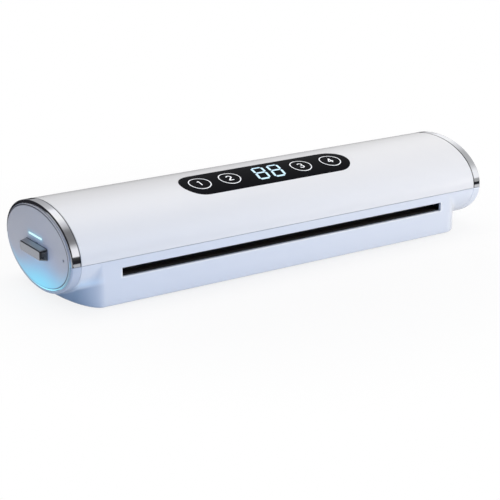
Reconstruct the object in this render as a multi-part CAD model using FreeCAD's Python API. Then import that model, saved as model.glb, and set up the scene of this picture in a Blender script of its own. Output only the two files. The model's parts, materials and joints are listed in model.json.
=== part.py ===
"""Countertop vacuum sealer: an oval bar with a hinged lid, a bag slot, a lever-driven press and a pump bay.

Millimetres. +X runs along the bar, the bag slot faces -Y, +Z is up and z = 0 is the table under the feet.
Each function makes one named piece; the last lines write every piece to its own file.
"""
import FreeCAD, Part
import math
import os

# Driving dimensions of the body
body_length = 390.0
oval_depth = 112.0
oval_height = 68.0
wall = 2.5
foot_proud = 1.0
plinth_height = 35.2
parting_below_axis = 1.7
parting_gap = 0.35
foot_edge_radius = 2.0
seam_groove = 0.45

# Each end of the plinth: where its straight sides stop, and how far the round end bulges beyond
plinth_left_end = (170.0, 18.5)
plinth_right_end = (159.0, 25.0)

# Ends: chrome arch, end disc, lever and lights
band_width = 7.0
rim_depth = 2.5
rim_edge_radius = 1.0
disc_inset = 2.9
disc_thickness = 3.8
disc_proud = 0.8
lever_size = (36.5, 9.8)
lever_tip_size = (34.0, 7.4)
lever_drop = 2.0
lever_proud = 6.3
lever_gap = 0.3
lit_bar_size = (22.0, 1.3)
lit_bar_place = (2.4, 7.8)
pin_hole = (1.4, -43.5, 0.8)

# Bag slot, jaws and vacuum tray
slot_x = (-154.5, 151.5)
slot_low_drop = 14.0
slot_high_drop = 7.2
seal_length = 300.0
bag_plane_rise = 0.5
jaw_y = (-51.5, -43.5)
ring_x = 152.0
ring_y = (-41.0, 13.0)
ring_width = 6.0
tray_y = (-53.3, 15.4)
tray_floor_z = 7.0

# Lever shaft, cams and press frame
shaft_radius = 3.0
spigot_radius = 1.5
running_gap = 0.05
press_travel = 5.4
cam_start = 3.6
cam_gap = 0.3
cam_width = 8.0
cam_x = (-118.0, 0.0, 118.0)
bearing_x = (-176.0, -60.0, 60.0, 176.0)
bolt_x = (-140.0, 140.0)
bolt_y = -16.0
bolt_radius = 2.0

# Hinge along the back
hinge_inset = 6.0
barrel_radius = 5.7
trough_radius = 7.2
hinge_x = (-130.0, 130.0)
lug_width = 14.0
hinge_pin_radius = 1.5

# Control panel on the lid's top
panel_length = 160.0
panel_width = 34.0
panel_thickness = 1.2
panel_y = -16.8
key_x = (-63.0, -35.4, 33.5, 63.0)
key_radius = 9.5
key_gap = 0.3
digit_size = (11.4, 21.0)
digit_x = (-5.9, 9.0)
segment_width = 2.1
segment_gap = 0.3
digit_lean_deg = 9.5

# Derived places
half_length = body_length / 2
semi_depth = oval_depth / 2
semi_height = oval_height / 2
plinth_z = foot_proud
parting_z = plinth_z + plinth_height
axis_z = parting_z + parting_below_axis
lid_low_z = parting_z + parting_gap
lid_end = half_length - band_width
disc_face = half_length + disc_proud
cheek_out = disc_face - disc_thickness
lever_foot = disc_face + lever_gap
shaft_end = lever_foot + 3.2
slot_z = (parting_z - slot_low_drop, parting_z - slot_high_drop)
bag_z = slot_z[0] + bag_plane_rise
hinge_y = semi_depth - hinge_inset
follower_z = axis_z - cam_start - cam_gap
strip_low_z = bag_z + press_travel + 0.1
liner_z = (axis_z + 11.1, axis_z + 13.1)
row_shift = lever_proud / 2

X = FreeCAD.Vector(1, 0, 0)
Y = FreeCAD.Vector(0, 1, 0)
Z = FreeCAD.Vector(0, 0, 1)


def vec(x, y, z):
    return FreeCAD.Vector(x, y, z)


def block(x, y, z):
    """A box from three (low, high) pairs."""
    return Part.makeBox(x[1] - x[0], y[1] - y[0], z[1] - z[0], vec(x[0], y[0], z[0]))


def rod(radius, start, axis, length):
    return Part.makeCylinder(radius, length, start, axis)


def join(shapes):
    """One solid from overlapping or touching shapes, with merged faces."""
    return shapes[0].multiFuse(shapes[1:]).removeSplitter()


def group(shapes):
    """Separate solids that share one node."""
    return Part.makeCompound(shapes)


def flipped(shape):
    """The mirror image at the other end of the bar."""
    return shape.mirror(vec(0, 0, 0), X)


def above(z):
    return block((-300, 300), (-150, 150), (z, 200))


def below(z):
    return block((-300, 300), (-150, 150), (-100, z))


def oval_prism(x, inset):
    """The bar's oval section, drawn in by inset, between two stations along X."""
    centre = vec(x[0], 0, axis_z)
    side = vec(x[0], semi_depth - inset, axis_z)
    crown = vec(x[0], 0, axis_z + semi_height - inset)
    outline = Part.Wire(Part.Ellipse(side, crown, centre).toShape())
    return Part.Face(outline).extrude(vec(x[1] - x[0], 0, 0))


def plinth_prism(inset, z):
    """The plinth's plan, straight along the front and back with half-ellipse ends, between two heights."""
    half = semi_depth - inset
    low = z[0]
    left, right = -plinth_left_end[0], plinth_right_end[0]
    left_tip = left - plinth_left_end[1] + inset
    right_tip = right + plinth_right_end[1] - inset
    right_oval = Part.Ellipse(vec(right, -half, low), vec(right_tip, 0, low), vec(right, 0, low))
    left_oval = Part.Ellipse(vec(left, half, low), vec(left_tip, 0, low), vec(left, 0, low))
    outline = Part.Wire([
        Part.makeLine(vec(left, -half, low), vec(right, -half, low)),
        Part.ArcOfEllipse(right_oval, 0, math.pi).toShape(),
        Part.makeLine(vec(right, half, low), vec(left, half, low)),
        Part.ArcOfEllipse(left_oval, 0, math.pi).toShape(),
    ])
    return Part.Face(outline).extrude(vec(0, 0, z[1] - low))


def rounded_plate(x, y, z, radius):
    """A flat plate with round vertical corners."""
    plate = block(x, y, z)
    upright = [e for e in plate.Edges if abs(e.Vertexes[0].Z - e.Vertexes[1].Z) > 0.9 * (z[1] - z[0])]
    return plate.makeFillet(radius, upright)


def screw(head_radius, head_height, shank_radius, shank_length, seat, axis):
    """A plain pan-head screw whose head stands on seat and whose shank runs along axis."""
    head = rod(head_radius, seat - axis * head_height, axis, head_height)
    slot = Part.makeBox(2 * head_radius, 0.8, 0.6)
    slot.translate(vec(-head_radius, -0.4, -head_height if axis.z > 0 else head_height - 0.6))
    slot.translate(seat)
    return head.cut(slot).fuse(rod(shank_radius, seat, axis, shank_length)).removeSplitter()


# The base

bottom_screw_spots = [(x, y) for x in (-150, 0, 150) for y in (-49.6, 49.6)]
cover_screw_spots = [(x, y) for x in (-158, 158) for y in (23, 36)]
foot_spots = [(x, y) for x in (-140, 140) for y in (-36, 36)]
bottom_plate_z = (plinth_z, plinth_z + 2.3)
column_radius = 4.0
bottom_screw = (2.8, 1.5, 1.5, 8.0)
cover_screw = (3.0, 1.6, 1.5, 8.0)
foot_size = (7.0, 2.5)
rib_x = (155.0, 160.0)
jamb_x = (154.5, 158.5)
rim_plate_z = (bag_z - 4.5, bag_z - 2.0)
inlet_x = -118.0
inlet_z = 15.5
inlet_size = (21.0, 11.6)
inlet_depth = 15.0
pin_places = (inlet_x - 4.3, inlet_x + 4.3)
pin_radius = 1.2
vent_x = [62 + 7 * n for n in range(8)]


def hinge_sweep(radius, x):
    """A round bar about the hinge axis."""
    return rod(radius, vec(x[0], hinge_y, axis_z), X, x[1] - x[0])


def end_edges(shape):
    """The long outer edge of each end face."""
    found = []
    for end in (-half_length, half_length):
        edges = [e for e in shape.Edges if abs(e.CenterOfMass.x - end) < 0.01]
        if edges:
            found.append(max(edges, key=lambda e: e.Length))
    return found


def seam_rings():
    """Two fine grooves round the oval, beside the end bands."""
    rings = []
    for x in ((-lid_end, -lid_end + seam_groove), (lid_end - seam_groove, lid_end)):
        wide = (x[0] - 1, x[1] + 1)
        rings.append(oval_prism(x, -1).cut(oval_prism(wide, seam_groove)))
    return group(rings)


def base_shell():
    """Lower half of the oval and the plinth under it, hollow, open at the top and the bottom."""
    span = (-half_length, half_length)
    outer = join([oval_prism(span, 0).common(below(parting_z)), plinth_prism(0, (plinth_z, parting_z))])
    foot_edge = [e for e in outer.Edges if max(v.Z for v in e.Vertexes) < plinth_z + 0.01]
    outer = outer.makeFillet(foot_edge_radius, foot_edge)
    outer = outer.makeFillet(rim_edge_radius, end_edges(outer))
    outer = outer.cut(seam_rings())
    room = lid_end - 1.9
    hollow = oval_prism((-room, room), wall).common(below(parting_z + 1))
    shell = outer.cut(hollow).cut(plinth_prism(wall, (plinth_z - 1, parting_z + 1)))
    for x in ((-half_length - 1, -lid_end - 0.6), (lid_end + 0.6, half_length + 1)):
        shell = shell.cut(oval_prism(x, rim_depth))
    return shell


def slot_cutter():
    """The bag slot through the front wall, with a bevel along both lips."""
    left = slot_x[0]
    front = -semi_depth
    low, high = slot_z
    back = jaw_y[0] + 1
    bevel = 0.5
    profile = Part.makePolygon([
        vec(left, front - bevel, low - 2 * bevel),
        vec(left, front + bevel, low),
        vec(left, back, low),
        vec(left, back, high),
        vec(left, front + bevel, high),
        vec(left, front - bevel, high + 2 * bevel),
        vec(left, front - bevel, low - 2 * bevel),
    ])
    return Part.Face(profile).extrude(vec(slot_x[1] - left, 0, 0))


def base_housing():
    inner_y = semi_depth - wall
    parts = [base_shell()]
    for side in (-1, 1):
        jamb = sorted((side * jamb_x[0], side * jamb_x[1]))
        parts.append(block(jamb, (-inner_y - 1, -50.6), (rim_plate_z[1] + 0.1, slot_z[1] + 3)))
        rib = sorted((side * rib_x[0], side * rib_x[1]))
        parts.append(block(rib, (-inner_y - 1, inner_y + 1), (bottom_plate_z[1], rim_plate_z[0])))
    for x, y in bottom_screw_spots:
        parts.append(rod(column_radius, vec(x, y, bottom_plate_z[1]), Z, 10))
    for x, y in cover_screw_spots:
        parts.append(rod(column_radius, vec(x, y, bottom_plate_z[1]), Z, cover_z[0] - bottom_plate_z[1]))
    gutter_x = (-lid_end + 2, lid_end - 2)
    gutter = hinge_sweep(trough_radius + 2, gutter_x).common(below(parting_z))
    parts.append(gutter.common(block((-300, 300), (0, semi_depth - 1), (0, 100))))
    housing = join(parts).cut(slot_cutter())
    housing = housing.cut(hinge_sweep(trough_radius, (-half_length - 1, half_length + 1)))
    housing = housing.cut(block((-half_length, half_length), (-4, 4), (axis_z - shaft_radius - 1, axis_z)))
    for x in hinge_x:
        span = (x - lug_width / 2, x + lug_width / 2)
        lug = block(span, (hinge_y - 4, hinge_y + 0.5), (axis_z - trough_radius - 1, axis_z))
        lug = lug.fuse(hinge_sweep(4.0, span))
        housing = housing.fuse(lug).cut(hinge_sweep(hinge_pin_radius, span))
    for x, y in bottom_screw_spots:
        housing = housing.cut(rod(bottom_screw[2], vec(x, y, bottom_plate_z[1]), Z, bottom_screw[3]))
    for x, y in cover_screw_spots:
        housing = housing.cut(rod(cover_screw[2], vec(x, y, cover_z[0] - 6), Z, 7))
    socket = block(*inlet_box(0))
    housing = housing.cut(socket)
    for x in vent_x:
        housing = housing.cut(block((x, x + 2), (inner_y - 1, semi_depth + 1), (9, 21)))
    return housing.removeSplitter()


def inlet_box(inset):
    """The power inlet's outline through the back wall, as three (low, high) pairs."""
    half_x = inlet_size[0] / 2 - inset
    half_z = inlet_size[1] / 2 - inset
    back = semi_depth
    return (
        (inlet_x - half_x, inlet_x + half_x),
        (back - inlet_depth, back),
        (inlet_z - half_z, inlet_z + half_z),
    )


def bottom_plate():
    """Flat closing plate with pockets for the feet, screw seats, board posts and the pump's strap seats."""
    plate = plinth_prism(wall + 0.3, bottom_plate_z)
    post_height = board_z[0] - bottom_plate_z[1]
    posts = [rod(2.6, vec(x, y, bottom_plate_z[1]), Z, post_height) for x, y in board_post_spots]
    plate = plate.multiFuse(posts)
    for x, y in foot_spots:
        plate = plate.cut(rod(foot_size[0], vec(x, y, plinth_z - 1), Z, foot_size[1] - foot_proud + 1))
    for x, y in bottom_screw_spots:
        plate = plate.cut(rod(bottom_screw[0] + 0.2, vec(x, y, plinth_z - 1), Z, bottom_screw[1] + 1.1))
        plate = plate.cut(rod(bottom_screw[2], vec(x, y, plinth_z), Z, 5))
    return plate.removeSplitter()


def rubber_feet():
    feet = [rod(foot_size[0], vec(x, y, 0), Z, foot_size[1]) for x, y in foot_spots]
    return group([f.makeChamfer(0.4, [e for e in f.Edges if e.Vertexes[0].Z < 0.01]) for f in feet])


def bottom_screws():
    seat = plinth_z + bottom_screw[1] + 0.1
    return group([screw(*bottom_screw, vec(x, y, seat), Z) for x, y in bottom_screw_spots])


# Vacuum tray, seals and heater

def seal_ring(x, y, width, z):
    """A flat loop of seal with round corners."""
    outer = rounded_plate((-x, x), y, z, width + 2)
    inner = rounded_plate((-x + width, x - width), (y[0] + width, y[1] - width), (z[0] - 1, z[1] + 1), 2)
    return outer.cut(inner)


def vacuum_tray():
    """A rim plate with a trough under it, a groove for the seal and a channel for the heater bar."""
    reach = rib_x[1] - 0.4
    plate = block((-reach, reach), tray_y, rim_plate_z)
    well_x = ring_x - ring_width - 2
    well_y = (ring_y[0] + ring_width + 2, ring_y[1] - ring_width - 2)
    tub = block((-well_x, well_x), (well_y[0], well_y[1]), (tray_floor_z, rim_plate_z[1]))
    tub = tub.makeFillet(4, [e for e in tub.Edges if max(v.Z for v in e.Vertexes) < tray_floor_z + 0.01])
    well = block(
        (-well_x + 2, well_x - 2), (well_y[0] + 2, well_y[1] - 2), (tray_floor_z + 2, rim_plate_z[1] + 1)
    )
    well = well.makeFillet(3, [e for e in well.Edges if max(v.Z for v in e.Vertexes) < tray_floor_z + 2.01])
    boss = rod(3.5, vec(port_x, well_y[1] - 1, port_z), Y, 3)
    barb = rod(hose_bore, vec(port_x, well_y[1], port_z), Y, 12)
    tray = join([plate, tub, boss, barb]).cut(well)
    tray = tray.cut(rod(0.9, vec(port_x, well_y[1] - 4, port_z), Y, 20))
    tray = tray.cut(seal_ring(ring_x, ring_y, ring_width, (rim_plate_z[1] - 1, rim_plate_z[1] + 1)))
    channel = block((-ring_x, ring_x), jaw_y, (rim_plate_z[1] - 1.5, rim_plate_z[1] + 1))
    return tray.cut(channel).removeSplitter()


def lower_seal():
    return seal_ring(ring_x, ring_y, ring_width, (rim_plate_z[1] - 1, bag_z))


def heater_bar():
    return block((-ring_x, ring_x), jaw_y, (rim_plate_z[1] - 1.5, bag_z - 0.4))


def heating_strip():
    middle = sum(jaw_y) / 2
    half = seal_length / 2
    return block((-half, half), (middle - 1.5, middle + 1.5), (bag_z - 0.4, bag_z - 0.15))


def release_tape():
    """Tape laid over the heating strip and down to the bar on both sides of it."""
    half = seal_length / 2 + 1
    tape = block((-half, half), (jaw_y[0] + 0.5, jaw_y[1] - 0.5), (bag_z - 0.4, bag_z))
    return tape.cut(heating_strip())


# The bay behind the tray: cover, pump, valve and supply

cover_z = (parting_z - 3.7, parting_z - 1.7)
cover_y = (tray_y[1] + 1.2, hinge_y - trough_radius - 2.5)
cover_reach = 161.0
port_x = 135.0
port_z = 13.0
board_z = (8.5, 10.1)
board_x = (-98.0, -12.0)
board_y = (20.5, 47.5)
board_post_x = (board_x[0] + 4, board_x[1] - 4)
board_post_y = (board_y[0] + 4, board_y[1] - 4)
board_post_spots = [(x, y) for x in board_post_x for y in board_post_y]
pump_y = 31.2
pump_z = 18.5
motor_x = (28.0, 60.0)
motor_radius = 12.2
head_x = (60.0, 92.0)
hose_radius = 3.2
hose_bore = 1.6
hose_bend = 11.0


def bay_cover():
    """Cover over the pump bay with a front wall, vent slots above the pump and a hole for the hose."""
    top = block((-cover_reach, cover_reach), cover_y, cover_z)
    front_reach = cover_reach - 8
    front_z = (bottom_plate_z[1] + 0.5, cover_z[1])
    front = block((-front_reach, front_reach), (cover_y[0], cover_y[0] + 2), front_z)
    cover = join([top, front])
    slot_y = (cover_y[0] + 6, cover_y[1] - 5)
    for x in vent_x:
        cover = cover.cut(block((x - 30, x - 27.5), slot_y, (cover_z[0] - 1, cover_z[1] + 1)))
    for x, y in cover_screw_spots:
        cover = cover.cut(rod(cover_screw[2], vec(x, y, cover_z[0] - 1), Z, 5))
    return cover.cut(rod(hose_radius + 0.6, vec(port_x, cover_y[0] - 1, port_z), Y, 5))


def cover_screws():
    down = Z * -1
    return group([screw(*cover_screw, vec(x, y, cover_z[1]), down) for x, y in cover_screw_spots])


def pump_motor():
    can = rod(motor_radius, vec(motor_x[0], pump_y, pump_z), X, motor_x[1] - motor_x[0])
    can = can.makeFillet(1.5, [e for e in can.Edges if abs(e.CenterOfMass.x - motor_x[0]) < 0.01])
    boss = rod(4.0, vec(motor_x[0] - 2, pump_y, pump_z), X, 2)
    tag_x = (motor_x[0] - 4, motor_x[0])
    tag_z = (pump_z - 2, pump_z + 2)
    tags = [block(tag_x, (pump_y + y, pump_y + y + 1.2), tag_z) for y in (-8, 7)]
    return join([can, boss, *tags])


def pump_head():
    """Diaphragm pump body: gearbox flange, valve block and a barb for the hose."""
    flange_end, body_end = head_x[0] + 4, head_x[0] + 22
    flange = block((head_x[0], flange_end), (pump_y - 12, pump_y + 12), (pump_z - 12, pump_z + 12))
    body_z = (pump_z - 11.2, pump_z + 11.2)
    body = block((flange_end, body_end), (pump_y - 11, pump_y + 11), body_z)
    valves = rod(10.4, vec(body_end, pump_y, pump_z), X, head_x[1] - body_end)
    barb = rod(hose_bore, vec(head_x[1], pump_y, port_z), X, 9)
    outlet = rod(hose_bore, vec(head_x[1], pump_y, pump_z + 5), X, 6)
    return join([flange, body, valves, barb, outlet])


def pump_cradle():
    """Saddle that carries the motor on the bottom plate."""
    saddle_z = (bottom_plate_z[1], pump_z - 5)
    saddle = block((motor_x[0] + 6, motor_x[1] - 4), (pump_y - 10, pump_y + 10), saddle_z)
    return saddle.cut(rod(motor_radius, vec(motor_x[0], pump_y, pump_z), X, motor_x[1] - motor_x[0]))


def vacuum_hose():
    """Hose from the pump's barb, straight, one quarter bend, then straight on to the tray's barb."""
    start = vec(head_x[1] + 1, pump_y, port_z)
    bend_in = vec(port_x - hose_bend, pump_y, port_z)
    bend_out = vec(port_x, pump_y - hose_bend, port_z)
    turn = hose_bend * (1 - math.sqrt(0.5))
    crest = vec(port_x - turn, pump_y - turn, port_z)
    finish = vec(port_x, tray_y[1] - 3, port_z)
    path = Part.Wire([
        Part.makeLine(start, bend_in),
        Part.Arc(bend_in, crest, bend_out).toShape(),
        Part.makeLine(bend_out, finish),
    ])

    def tube(radius):
        ring = Part.Wire(Part.Circle(start, X, radius).toShape())
        return path.makePipeShell([ring], True, False)

    return tube(hose_radius).cut(tube(hose_bore))


def release_valve():
    """Solenoid valve that lets air back in: coil, yoke and a short vent stub."""
    centre = vec(port_x - 20, 42, bottom_plate_z[1])
    plan = ((centre.x - 8, centre.x + 8), (centre.y - 6, centre.y + 6))
    base = block(*plan, (centre.z, centre.z + 4))
    coil = rod(5.5, centre + Z * 4, Z, 12)
    yoke = block(*plan, (centre.z + 16, centre.z + 17.5))
    stub = rod(1.6, centre + Z * 17.5, Z, 4)
    return join([base, coil, yoke, stub])


def supply_board():
    return block(board_x, board_y, board_z)


def transformer():
    """Laminated core with a wound bobbin through it."""
    low = board_z[1]
    core = block((-92, -58), (22, 46), (low + 3, low + 14))
    bobbin = block((-86, -64), (21, 47), (low, low + 17))
    return join([core, bobbin])


def board_parts():
    """Two filter capacitors, a heat sink with its fins and a row of terminals."""
    low = board_z[1]
    cans = [rod(5, vec(x, 28, low), Z, 16) for x in (-46, -34)]
    sink = [block((-50, -28), (38, 40), (low, low + 14))]
    sink += [block((x, x + 1.2), (40, 45), (low, low + 14)) for x in (-50, -43, -36, -29.2)]
    terminals = block((-24, -16), (24, 44), (low, low + 7))
    return group([*cans, join(sink), terminals])


def power_inlet():
    """Two-pin inlet: a shell with a figure-of-eight well, open to the back."""
    x, y, z = inlet_box(0)
    well_depth = 11.0
    well_y = y[1] - well_depth
    lobes = [rod(3.9, vec(pin_x, well_y, inlet_z), Y, well_depth + 1) for pin_x in pin_places]
    bridge = block(pin_places, (well_y, y[1] + 1), (inlet_z - 3.4, inlet_z + 3.4))
    shell = block(x, y, z).cut(join([*lobes, bridge]))
    for pin_x in pin_places:
        shell = shell.cut(rod(pin_radius, vec(pin_x, y[0] - 1, inlet_z), Y, inlet_depth))
    return shell


def inlet_pins():
    back = semi_depth
    start = back - inlet_depth - 4
    pins = [rod(pin_radius, vec(x, start, inlet_z), Y, inlet_depth + 1) for x in pin_places]
    return group([p.makeFillet(0.6, [e for e in p.Edges if e.CenterOfMass.y > back - 4]) for p in pins])


def hinge_pins():
    reach = lug_width / 2 + 14
    return group([hinge_sweep(hinge_pin_radius, (x - reach, x + reach)) for x in hinge_x])


# The lid

lid_screw_spots = [(-150, 22), (150, 22), (-60, 30), (60, 30), (-165, -24), (165, -24)]
lid_screw = (2.8, 1.6, 1.5, 8.0)


def panel_frame(shape):
    """Stands a shape made in the panel's own plane on the lid's crown, square to the surface there."""
    rise = semi_height * math.sqrt(1 - (panel_y / semi_depth) ** 2)
    slope = math.degrees(math.atan2(-panel_y / semi_depth ** 2, rise / semi_height ** 2))
    shape.rotate(vec(0, 0, 0), X, slope)
    shape.translate(vec(0, panel_y, axis_z + rise))
    return shape


def pill(length, width, z):
    """A flat pill in the panel's plane."""
    half = length / 2 - width / 2
    return join([
        block((-half, half), (-width / 2, width / 2), z),
        rod(width / 2, vec(-half, 0, z[0]), Z, z[1] - z[0]),
        rod(width / 2, vec(half, 0, z[0]), Z, z[1] - z[0]),
    ])


def key_plugs(radius, z):
    """Four round plugs where the keys stand."""
    return [panel_frame(rod(radius, vec(x, 0, z[0]), Z, z[1] - z[0])) for x in key_x]


def lid_shell():
    """Upper half of the oval with full end cheeks, the hinge barrel, panel seat and inner screw bosses."""
    span = (-lid_end, lid_end)
    upper = above(lid_low_z)
    shell = oval_prism(span, 0).cut(oval_prism((-lid_end + 1, lid_end - 1), wall)).common(upper)
    room = oval_prism(span, wall - 0.5).common(upper)
    parts = [shell]
    for x in ((-cheek_out, -lid_end + 1), (lid_end - 1, cheek_out)):
        parts.append(oval_prism(x, 1.3).common(upper))
    for x in ((-cheek_out, -lid_end - 1), (lid_end + 1, cheek_out)):
        parts.append(oval_prism(x, disc_inset))
    for x, y in lid_screw_spots:
        parts.append(rod(3.5, vec(x, y, liner_z[1]), Z, 30).common(room))
    parts.append(hinge_sweep(barrel_radius, (-lid_end, lid_end)))
    lid = join(parts)
    for x in hinge_x:
        half = lug_width / 2 + 0.6
        lid = lid.cut(hinge_sweep(barrel_radius + 0.8, (x - half, x + half)))
        lid = lid.cut(hinge_sweep(hinge_pin_radius + running_gap, (x - half - 15, x + half + 15)))
    seat = panel_frame(pill(panel_length, panel_width, (-15, 10)))
    lid = lid.cut(seat.cut(oval_prism((-150, 150), panel_thickness)))
    for plug in key_plugs(key_radius + 0.7, (-15, 10)):
        lid = lid.cut(plug)
    lid = lid.cut(panel_frame(block((-20, 20), (-12, 12), (-15, 10))))
    for x, y in lid_screw_spots:
        lid = lid.cut(rod(lid_screw[2], vec(x, y, liner_z[1] - 1), Z, 8))
    lid = lid.cut(seam_rings())
    lid = lid.cut(rod(shaft_radius + running_gap, vec(-half_length, 0, axis_z), X, body_length))
    return lid.removeSplitter()


def left_chrome_arch():
    """Half-oval trim on the lid's end: a sleeve over the lid's spigot and a flat outboard flange.

    Its back end runs on round the hinge axis, as the lid's barrel does.
    """
    outboard = -half_length
    blank = oval_prism((outboard, -lid_end), 0)
    blank = blank.makeFillet(rim_edge_radius, end_edges(blank))
    sleeve = blank.cut(oval_prism((outboard + 3, -lid_end + 1), 1.3))
    arch = sleeve.cut(oval_prism((outboard - 1, -lid_end + 1), rim_depth))
    return arch.common(join([above(lid_low_z), hinge_sweep(barrel_radius, (-200, -100))]))


def glow_ring_band(x, outer, inner):
    """A thin half-oval band along the disc's lower edge."""
    return oval_prism(x, outer).cut(oval_prism((x[0] - 1, x[1] + 1), inner)).common(below(parting_z))


def disc_blank():
    """Flat oval plate on the cheek, stepped in along its lower edge for the glow ring."""
    x = (-disc_face, -cheek_out)
    plate = oval_prism(x, disc_inset)
    return plate.cut(glow_ring_band(x, disc_inset - 1, disc_inset + 0.9))


def left_end_disc():
    disc = disc_blank()
    face = -disc_face - 1
    disc = disc.cut(rod(shaft_radius + 0.4, vec(face, 0, axis_z), X, 10))
    disc = disc.cut(lit_bar(face, -cheek_out + 1))
    diameter, y, rise = pin_hole
    return disc.cut(rod(diameter / 2, vec(face, y, axis_z + rise), X, 2.6))


def lit_bar(x_low, x_high):
    """A slim pill above the lever, running into the disc."""
    length, height = lit_bar_size
    half = length / 2 - height / 2
    y, rise = lit_bar_place
    z = axis_z + rise
    return join([
        block((x_low, x_high), (y - half, y + half), (z - height / 2, z + height / 2)),
        rod(height / 2, vec(x_low, y - half, z), X, x_high - x_low),
        rod(height / 2, vec(x_low, y + half, z), X, x_high - x_low),
    ])


def lit_bar_lens():
    return lit_bar(-disc_face - 0.2, -cheek_out)


def left_glow_ring():
    x = (-disc_face, -cheek_out)
    return glow_ring_band(x, disc_inset, disc_inset + 0.9)


def right_end_disc():
    return flipped(disc_blank())


def control_panel():
    """Thin cover, flush with the lid's crown, with the key holes and the display's segments cut through."""
    seat = panel_frame(pill(panel_length - 0.3, panel_width - 0.3, (-15, 10)))
    panel = oval_prism((-150, 150), 0).cut(oval_prism((-151, 151), panel_thickness)).common(seat)
    for plug in key_plugs(key_radius + key_gap, (-15, 10)):
        panel = panel.cut(plug)
    for bar in segment_bars():
        panel = panel.cut(bar)
    return panel


def segment_bars():
    """Fourteen leaning bars: seven for each figure eight, cut off short of one another."""
    wide, tall = digit_size
    lean = math.tan(math.radians(digit_lean_deg))
    half = tall / 2 - segment_width / 2
    side = wide / 2 - segment_width / 2
    nib = segment_width / 2
    bars = []
    for centre in digit_x:
        ends = [((-side, y), (side, y)) for y in (-half, 0, half)]
        ends += [((x, y), (x, y + half)) for x in (-side, side) for y in (-half, 0)]
        for (x0, y0), (x1, y1) in ends:
            run = math.hypot(x1 - x0, y1 - y0)
            ux, uy = (x1 - x0) / run, (y1 - y0) / run
            trim = segment_gap
            corners = [
                (trim, 0), (trim + nib, nib), (run - trim - nib, nib),
                (run - trim, 0), (run - trim - nib, -nib), (trim + nib, -nib), (trim, 0),
            ]
            points = []
            for along, across in corners:
                px = x0 + ux * along - uy * across
                py = y0 + uy * along + ux * across
                points.append(vec(centre + px + lean * py, py, -4))
            bars.append(panel_frame(Part.Face(Part.makePolygon(points)).extrude(vec(0, 0, 14))))
    return bars


def display_digits():
    crown = oval_prism((-150, 150), 0)
    return group([bar.common(crown) for bar in segment_bars()])


def display_block():
    return panel_frame(block((-19, 19), (-11.5, 11.5), (-8.2, -4)))


def control_board():
    return panel_frame(block((-78, 78), (-15, 15), (-9.8, -8.2)))


def key_switches():
    """Four tact switches: a square body and a short round actuator under each key."""
    parts = []
    for x in key_x:
        body = block((x - 3, x + 3), (-3, 3), (-8.2, -6.9))
        parts.append(panel_frame(body.fuse(rod(1.6, vec(x, 0, -6.9), Z, 0.5)).removeSplitter()))
    return group(parts)


def key_cap(x):
    """Round cap, crowned to the lid's curve, with a retaining flange below the lid's skin."""
    stem = panel_frame(rod(key_radius, vec(x, 0, -5.6), Z, 12)).common(oval_prism((-150, 150), 0))
    flange = panel_frame(rod(key_radius + 1.6, vec(x, 0, -5.6), Z, 1.0))
    return stem.fuse(flange).removeSplitter()


def lid_liner():
    """Plate across the lid that hides the electronics and carries the shaft bearings and frame bolts."""
    liner = block((-lid_end + 2, lid_end - 2), (-46, 44), liner_z)
    for x, y in lid_screw_spots:
        liner = liner.cut(rod(lid_screw[2], vec(x, y, liner_z[0] - 1), Z, 5))
    for x in bolt_x:
        liner = liner.cut(rod(bolt_radius + running_gap, vec(x, bolt_y, liner_z[0] - 1), Z, 5))
    return liner


def liner_screws():
    return group([screw(*lid_screw, vec(x, y, liner_z[0]), Z) for x, y in lid_screw_spots])


def shaft_bearings():
    """Hanging blocks under the liner, open below, that the lever shaft snaps up into."""
    blocks = []
    for x in bearing_x:
        hanger = block((x - 4, x + 4), (-7, 7), (axis_z, liner_z[0]))
        hanger = hanger.fuse(rod(7, vec(x - 4, 0, axis_z), X, 8)).removeSplitter()
        hanger = hanger.common(above(axis_z - 2.2))
        blocks.append(hanger.cut(rod(shaft_radius + running_gap, vec(x - 5, 0, axis_z), X, 10)))
    return group(blocks)


spring_radius = 4.0
spring_wire = 0.4
spring_turns = 5
spring_z = (liner_z[1] + spring_wire, liner_z[1] + 12.0 - spring_wire)


def arc_towards(start, knee, end):
    """The round arc from start to end whose tangents meet at knee."""
    weight = (end - start).Length / 2 / (knee - start).Length
    middle = (start + knee * (2 * weight) + end) * (1 / (2 + 2 * weight))
    return Part.Arc(start, middle, end).toShape()


def coil_path(x, y):
    """A rising coil as pairs of arcs, one pair for each quarter turn, tangent where they meet."""
    quarter = math.pi / 2
    rise = (spring_z[1] - spring_z[0]) / (spring_turns * 2 * math.pi)

    def at(angle):
        round_x, round_y = spring_radius * math.cos(angle), spring_radius * math.sin(angle)
        return vec(x + round_x, y + round_y, spring_z[0] + rise * angle)

    def heading(angle):
        way = vec(-spring_radius * math.sin(angle), spring_radius * math.cos(angle), rise)
        return way * (1 / way.Length)

    edges = []
    for n in range(4 * spring_turns):
        p0, p1 = at(n * quarter), at((n + 1) * quarter)
        t0, t1 = heading(n * quarter), heading((n + 1) * quarter)
        chord, both = p1 - p0, t0 + t1
        bend = 2 * (1 - t0.dot(t1))
        reach = (-chord.dot(both) + math.sqrt(chord.dot(both) ** 2 + bend * chord.dot(chord))) / bend
        knee0, knee1 = p0 + t0 * reach, p1 - t1 * reach
        middle = (knee0 + knee1) * 0.5
        edges += [arc_towards(p0, knee0, middle), arc_towards(middle, knee1, p1)]
    return Part.Wire(edges), heading(0)


def return_springs():
    springs = []
    for x in bolt_x:
        path, heading = coil_path(x, bolt_y)
        ring = Part.Wire(Part.Circle(path.Vertexes[0].Point, heading, spring_wire).toShape())
        springs.append(path.makePipeShell([ring], True, False))
    return group(springs)


# The lever, its shaft and the cams

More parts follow.
